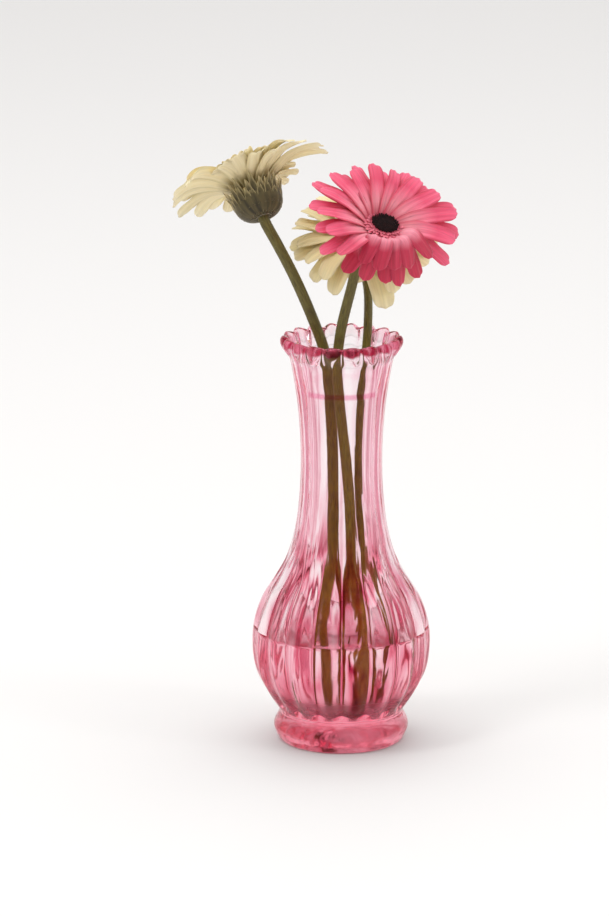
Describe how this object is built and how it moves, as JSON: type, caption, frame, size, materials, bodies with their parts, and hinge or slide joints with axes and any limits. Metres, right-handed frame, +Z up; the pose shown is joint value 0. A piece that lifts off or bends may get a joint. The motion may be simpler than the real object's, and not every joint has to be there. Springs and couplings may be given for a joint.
{
  "type": "gerbera daisies in a vase",
  "caption": "Pink and cream gerbera daisies standing in water in a fluted pink glass bud vase with a scalloped rim and a solid flared foot.",
  "frame": {"origin": "middle of the flat underside of the vase's foot", "axes": "+Z up along the vase's axis, -Y the front, where the pink bloom looks, +X to the right seen from the front"},
  "size_m": [0.1675, 0.1253, 0.3697],
  "materials": {
    "vase_glass": "pink pressed glass, fire polished",
    "water": "clear still water",
    "stalk_green": "olive green, finely hairy",
    "petal_pink": "soft satin petal",
    "petal_cream": "soft satin petal",
    "eye_black": "matt, velvety",
    "eye_brown": "matt, velvety"
  },
  "bodies": {
    "root": {"vase": "vase_glass", "water": "water", "stem_pink": "stalk_green", "bloom_pink": "petal_pink", "eye_pink": "eye_black", "stem_cream_left": "stalk_green", "bloom_cream_left": "petal_cream", "eye_cream_left": "eye_brown", "stem_cream_back": "stalk_green", "bloom_cream_back": "petal_cream", "eye_cream_back": "eye_brown"}
  },
  "joints": []
}
